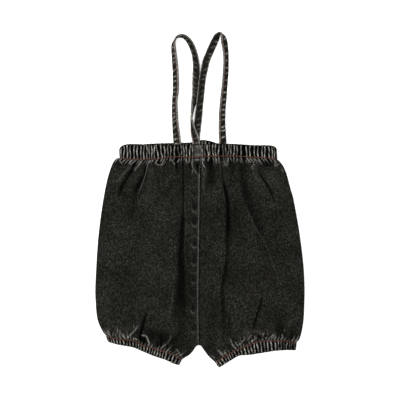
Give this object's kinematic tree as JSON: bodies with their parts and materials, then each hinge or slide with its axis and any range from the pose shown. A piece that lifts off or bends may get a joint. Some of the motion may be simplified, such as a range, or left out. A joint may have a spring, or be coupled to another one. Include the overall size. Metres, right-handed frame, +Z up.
{
  "type": "toddler bubble shorts with shoulder straps",
  "caption": "Gathered denim bubble shorts for a toddler, with elastic waist and leg casings and narrow shoulder straps, laid flat with the front up.",
  "frame": {"origin": "on the surface that the garment lies on, under the middle of its outline", "axes": "+Z up out of the garment's front, +Y from the legs to the straps, +X to the right as seen from above"},
  "size_m": [0.2777, 0.446, 0.0096],
  "materials": {
    "denim": "washed black denim, matt",
    "casing_denim": "gathered washed denim, worn pale on the gathers",
    "strap_denim": "worn washed denim with a frayed edge",
    "thread": "rust brown sewing thread"
  },
  "bodies": {
    "root": {"leg_front_left": "denim", "leg_front_right": "denim", "leg_back_left": "denim", "leg_back_right": "denim", "seam_front": "denim", "waistband_front": "casing_denim", "waistband_back": "casing_denim", "cuff_front_left": "casing_denim", "cuff_front_right": "casing_denim", "cuff_back_left": "casing_denim", "cuff_back_right": "casing_denim", "strap_left": "strap_denim", "strap_right": "strap_denim"}
  },
  "joints": []
}
